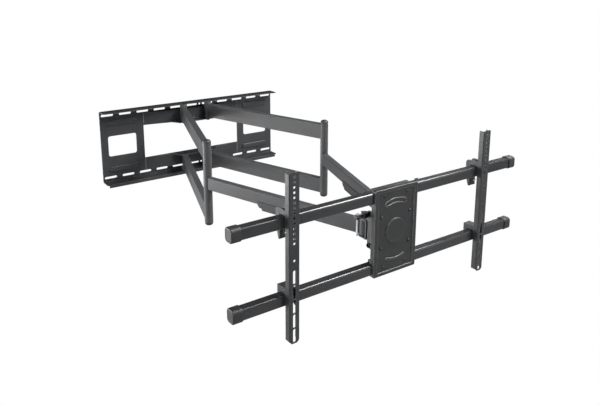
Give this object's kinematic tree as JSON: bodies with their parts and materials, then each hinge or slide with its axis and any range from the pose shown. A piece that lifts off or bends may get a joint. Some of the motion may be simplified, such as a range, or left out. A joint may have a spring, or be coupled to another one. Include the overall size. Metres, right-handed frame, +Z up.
{
  "type": "full motion tv wall mount",
  "caption": "Wall mount for a large screen: slotted wall plate, folding paired arms, tilting face plate, long crossbars and slotted brackets that hook over them.",
  "frame": {"origin": "a point on the back face of the wall plate, on its middle line, between the central opening and the upper row of screw slots", "axes": "+Z up, front (the screen side) towards -Y, +X to the right seen from the front"},
  "size_m": [0.9794, 1.231, 0.43],
  "materials": {
    "coat": "fine powder coat",
    "satin": "satin coat",
    "plastic": "moulded",
    "zinc": "zinc plated",
    "dark_bolt": "black oxide"
  },
  "bodies": {
    "wall_frame": {"wall_plate": "coat", "upper_pivot_channel": "coat", "lower_pivot_channel": "coat", "left_upper_wall_bolt": "dark_bolt", "left_lower_wall_bolt": "dark_bolt", "right_upper_wall_bolt": "dark_bolt", "right_lower_wall_bolt": "dark_bolt"},
    "left_inner_arm": {"left_elbow_pin": "zinc", "left_upper_inner_bar": "coat", "left_upper_elbow_spacer": "coat", "left_upper_elbow_cap": "plastic", "left_lower_inner_bar": "coat", "left_lower_elbow_spacer": "coat", "left_lower_elbow_cap": "plastic"},
    "left_outer_arm": {"left_elbow_sleeve": "coat", "left_outer_bar": "coat", "left_head_knuckle": "coat", "left_cable_clip": "plastic"},
    "right_inner_arm": {"right_elbow_pin": "zinc", "right_upper_inner_bar": "coat", "right_upper_elbow_spacer": "coat", "right_upper_elbow_cap": "plastic", "right_lower_inner_bar": "coat", "right_lower_elbow_spacer": "coat", "right_lower_elbow_cap": "plastic"},
    "right_outer_arm": {"right_elbow_sleeve": "coat", "right_outer_bar": "coat", "right_head_knuckle": "coat", "right_cable_clip": "plastic"},
    "yoke": {"head_yoke": "coat", "left_head_pin": "dark_bolt", "right_head_pin": "dark_bolt", "tilt_axle": "dark_bolt", "tilt_stud": "dark_bolt"},
    "tilt_lock": {"tilt_lock_hub": "dark_bolt", "tilt_lock_bar": "zinc"},
    "tilt_body": {"tilt_carriage": "coat", "level_hub": "coat"},
    "face_body": {"face_plate": "coat", "upper_rail": "satin", "lower_rail": "satin", "upper_rail_clamp": "coat", "lower_rail_clamp": "coat", "left_upper_end_cap": "plastic", "left_upper_face_screw": "zinc", "left_lower_end_cap": "plastic", "left_lower_face_screw": "zinc", "right_upper_end_cap": "plastic", "right_upper_face_screw": "zinc", "right_lower_end_cap": "plastic", "right_lower_face_screw": "zinc"},
    "left_bracket": {"left_tv_bracket": "coat", "left_upper_hook": "coat", "left_lower_hook": "coat", "left_safety_screw": "zinc"},
    "right_bracket": {"right_tv_bracket": "coat", "right_upper_hook": "coat", "right_lower_hook": "coat", "right_safety_screw": "zinc"}
  },
  "joints": [
    {"name": "left_wall_pivot", "type": "hinge", "parent": "wall_frame", "child": "left_inner_arm", "pos_m": [-0.0535, -0.04, -0.094], "axis": [0, 0, -1], "range_deg": [-14.9, 68]},
    {"name": "right_wall_pivot", "type": "hinge", "parent": "wall_frame", "child": "right_inner_arm", "pos_m": [0.0535, -0.04, -0.094], "axis": [0, 0, 1], "range_deg": [-15, 68.5]},
    {"name": "left_elbow", "type": "hinge", "parent": "left_inner_arm", "child": "left_outer_arm", "pos_m": [-0.2335, -0.597, -0.094], "axis": [0, 0, 1], "range_deg": [-30, 137]},
    {"name": "right_elbow", "type": "hinge", "parent": "right_inner_arm", "child": "right_outer_arm", "pos_m": [0.2335, -0.597, -0.094], "axis": [0, 0, -1], "range_deg": [-30, 137]},
    {"name": "left_head_pivot", "type": "hinge", "parent": "left_outer_arm", "child": "yoke", "pos_m": [-0.0535, -1.154, -0.094], "axis": [0, 0, -1], "range_deg": [-15, 68.5]},
    {"name": "tilt_lock_turn", "type": "hinge", "parent": "yoke", "child": "tilt_lock", "pos_m": [-0.0903, -1.184, -0.046], "axis": [-1, 0, 0], "range_deg": [-15, 90]},
    {"name": "head_tilt", "type": "hinge", "parent": "yoke", "child": "tilt_body", "pos_m": [0, -1.193, -0.13], "axis": [1, 0, 0], "range_deg": [-5, 15]},
    {"name": "face_level", "type": "hinge", "parent": "tilt_body", "child": "face_body", "pos_m": [0, -1.2, -0.094], "axis": [0, 1, 0], "range_deg": [-3, 3]},
    {"name": "left_bracket_slide", "type": "slide", "parent": "face_body", "child": "left_bracket", "axis": [1, 0, 0], "range_m": [-0.115, 0.2]},
    {"name": "right_bracket_slide", "type": "slide", "parent": "face_body", "child": "right_bracket", "axis": [1, 0, 0], "range_m": [-0.2, 0.115]}
  ],
  "couplings": [
    {"joint": "right_wall_pivot", "follows": "left_wall_pivot", "ratio": 1},
    {"joint": "left_elbow", "follows": "left_wall_pivot", "ratio": 2},
    {"joint": "right_elbow", "follows": "left_wall_pivot", "ratio": 2},
    {"joint": "left_head_pivot", "follows": "left_wall_pivot", "ratio": 1}
  ]
}
